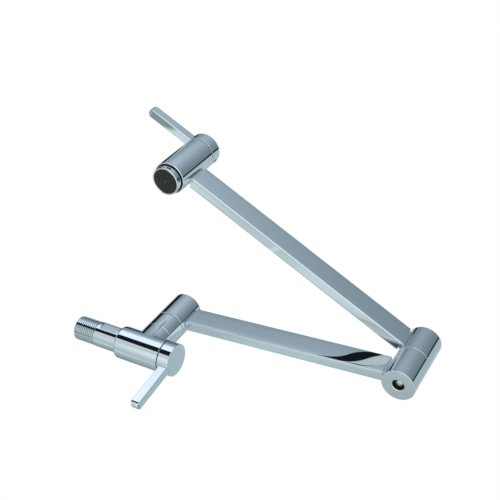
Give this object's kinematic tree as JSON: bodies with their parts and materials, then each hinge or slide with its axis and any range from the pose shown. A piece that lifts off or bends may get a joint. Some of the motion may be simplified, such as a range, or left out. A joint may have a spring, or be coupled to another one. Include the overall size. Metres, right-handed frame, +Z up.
{
  "type": "folding wall tap",
  "caption": "Chrome wall-mounted cold tap with a valve at the wall, two swinging flat arms and a spout head with its own lever valve.",
  "frame": {"origin": "on the inlet axis, in the wall plane where the inlet thread ends", "axes": "+X out of the wall along the inlet axis, +Z up along the swivel axes, +Y to the right for someone who faces the wall"},
  "size_m": [0.2912, 0.1774, 0.1727],
  "materials": {
    "chrome": "polished",
    "brass": "satin",
    "rubber": "matte",
    "ceramic": "polished",
    "black_plastic": "matte",
    "glide_plastic": "satin",
    "steel": "polished"
  },
  "bodies": {
    "tap_body": {"inlet_nipple": "chrome", "valve_body": "chrome", "valve_cartridge_seal": "rubber", "valve_fixed_disc": "ceramic", "valve_cartridge_shell": "brass", "valve_gland_nut": "brass", "post_seal": "rubber", "swivel_post": "brass", "union_sleeve": "chrome", "swivel_o_rings": "rubber", "swivel_glide_ring": "glide_plastic", "swivel_washer": "steel", "swivel_screw": "steel"},
    "valve_handle": {"valve_moving_disc": "ceramic", "valve_spindle": "brass", "valve_spindle_o_ring": "rubber", "valve_cap": "chrome", "valve_lever": "chrome", "valve_grub_screw": "steel"},
    "inner_arm_body": {"inner_arm_hub": "chrome", "inner_arm": "chrome", "elbow_lower_hub": "chrome", "elbow_glide_ring": "glide_plastic"},
    "outer_arm_body": {"elbow_upper_hub": "chrome", "elbow_post": "brass", "elbow_o_rings": "rubber", "elbow_washer": "steel", "elbow_screw": "steel", "outer_arm": "chrome", "spout_head": "chrome", "spout_cartridge_seal": "rubber", "spout_fixed_disc": "ceramic", "spout_cartridge_shell": "brass", "spout_gland_nut": "brass", "aerator_housing": "chrome", "aerator_insert": "black_plastic", "aerator_seal": "rubber"},
    "spout_handle": {"spout_moving_disc": "ceramic", "spout_spindle": "brass", "spout_spindle_o_ring": "rubber", "spout_cap": "chrome", "spout_lever": "chrome", "spout_grub_screw": "steel"}
  },
  "joints": [
    {"name": "wall_swivel", "type": "hinge", "parent": "tap_body", "child": "inner_arm_body", "pos_m": [0.0475, 0, 0.0512], "axis": [0, 0, 1], "range_deg": [-85.5, 94.5]},
    {"name": "elbow_swivel", "type": "hinge", "parent": "inner_arm_body", "child": "outer_arm_body", "pos_m": [0.25685, -0.01648, 0.066], "axis": [0, 0, 1], "continuous": true},
    {"name": "valve_turn", "type": "hinge", "parent": "tap_body", "child": "valve_handle", "pos_m": [0.0663, 0, 0], "axis": [1, 0, 0], "range_deg": [-6, 84]},
    {"name": "spout_valve_turn", "type": "hinge", "parent": "outer_arm_body", "child": "spout_handle", "pos_m": [0.04519, -0.1338, 0.1048], "axis": [0, 0, 1], "range_deg": [0, 90]}
  ]
}
